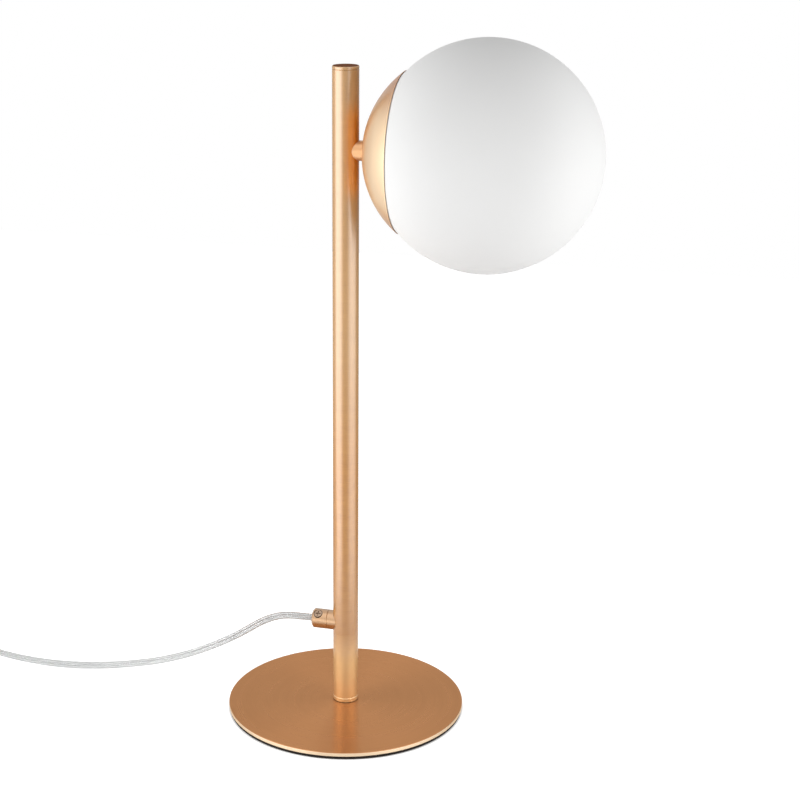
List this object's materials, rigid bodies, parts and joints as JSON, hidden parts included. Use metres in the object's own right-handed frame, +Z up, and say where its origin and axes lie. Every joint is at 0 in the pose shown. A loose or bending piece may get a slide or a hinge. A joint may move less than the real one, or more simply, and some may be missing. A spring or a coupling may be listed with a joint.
{
  "type": "globe table lamp",
  "caption": "Table lamp: flat round base, tube stem and a short arm with a spun cup that carries an opal glass globe; clear flex with an in-line rocker switch and a flat plug.",
  "frame": {"origin": "centre of the base's underside, on the surface the lamp stands on", "axes": "+Z up the stem, +X from the stem along the arm to the globe, flex towards -X"},
  "size_m": [0.5233, 0.2044, 0.4415],
  "materials": {
    "rose_gold": "brushed, satin lacquer",
    "pad": "matt foam",
    "opal_glass": "opal, satin etched",
    "steel": "zinc plated",
    "brass": "plain",
    "spun_aluminium": "turned",
    "gasket": "silicone",
    "ceramic": "unglazed ceramic",
    "bulb_plastic": "moulded",
    "bulb_glass": "frosted",
    "clear_flex": "clear sheath over tinned strands",
    "white_plastic": "moulded, fine grain",
    "tie_plastic": "soft strap",
    "nickel": "nickel plated",
    "sleeve_plastic": "moulded"
  },
  "bodies": {
    "frame": {"base_plate": "rose_gold", "base_pad": "pad", "base_screw": "steel", "stem_foot": "rose_gold", "stem_tube": "rose_gold", "stem_cap": "rose_gold", "arm": "rose_gold", "arm_washer": "steel", "arm_nut": "steel", "cup": "rose_gold", "globe_holder": "spun_aluminium", "socket_bracket": "steel", "lampholder": "ceramic", "lampholder_contacts": "brass", "lampholder_screws": "steel", "cord_boss": "rose_gold", "cord_grip": "rose_gold", "cord_grip_screw": "rose_gold", "lead_wires": "clear_flex", "cord": "clear_flex", "cord_coil": "clear_flex", "cord_tie": "tie_plastic", "switch_base": "white_plastic", "switch_cover": "white_plastic", "switch_pin": "steel", "switch_contacts": "brass", "switch_screws": "steel", "plug_body": "white_plastic", "plug_pins": "nickel", "plug_sleeves": "sleeve_plastic"},
    "globe_seal": {"globe_gasket": "gasket"},
    "globe_glass": {"globe": "opal_glass", "globe_collar": "spun_aluminium"},
    "bulb": {"bulb_base": "bulb_plastic", "bulb_capsule": "bulb_glass", "bulb_pins": "nickel"},
    "rocker": {"switch_rocker": "white_plastic"}
  },
  "joints": [
    {"name": "globe_lift", "type": "slide", "parent": "frame", "child": "globe_seal", "axis": [1, 0, 0], "range_m": [0, 0.012]},
    {"name": "globe_turn", "type": "hinge", "parent": "globe_seal", "child": "globe_glass", "pos_m": [0.0876, 0, 0.3715], "axis": [1, 0, 0], "range_deg": [0, 1080]},
    {"name": "bulb_pull", "type": "slide", "parent": "frame", "child": "bulb", "axis": [1, 0, 0], "range_m": [0, 0.012]},
    {"name": "switch_rock", "type": "hinge", "parent": "frame", "child": "rocker", "pos_m": [-0.307, 0, 0.0086], "axis": [0, 1, 0], "range_deg": [0, 16]}
  ],
  "couplings": [
    {"joint": "globe_lift", "follows": "globe_turn", "m_per_rad": 0.000636}
  ]
}
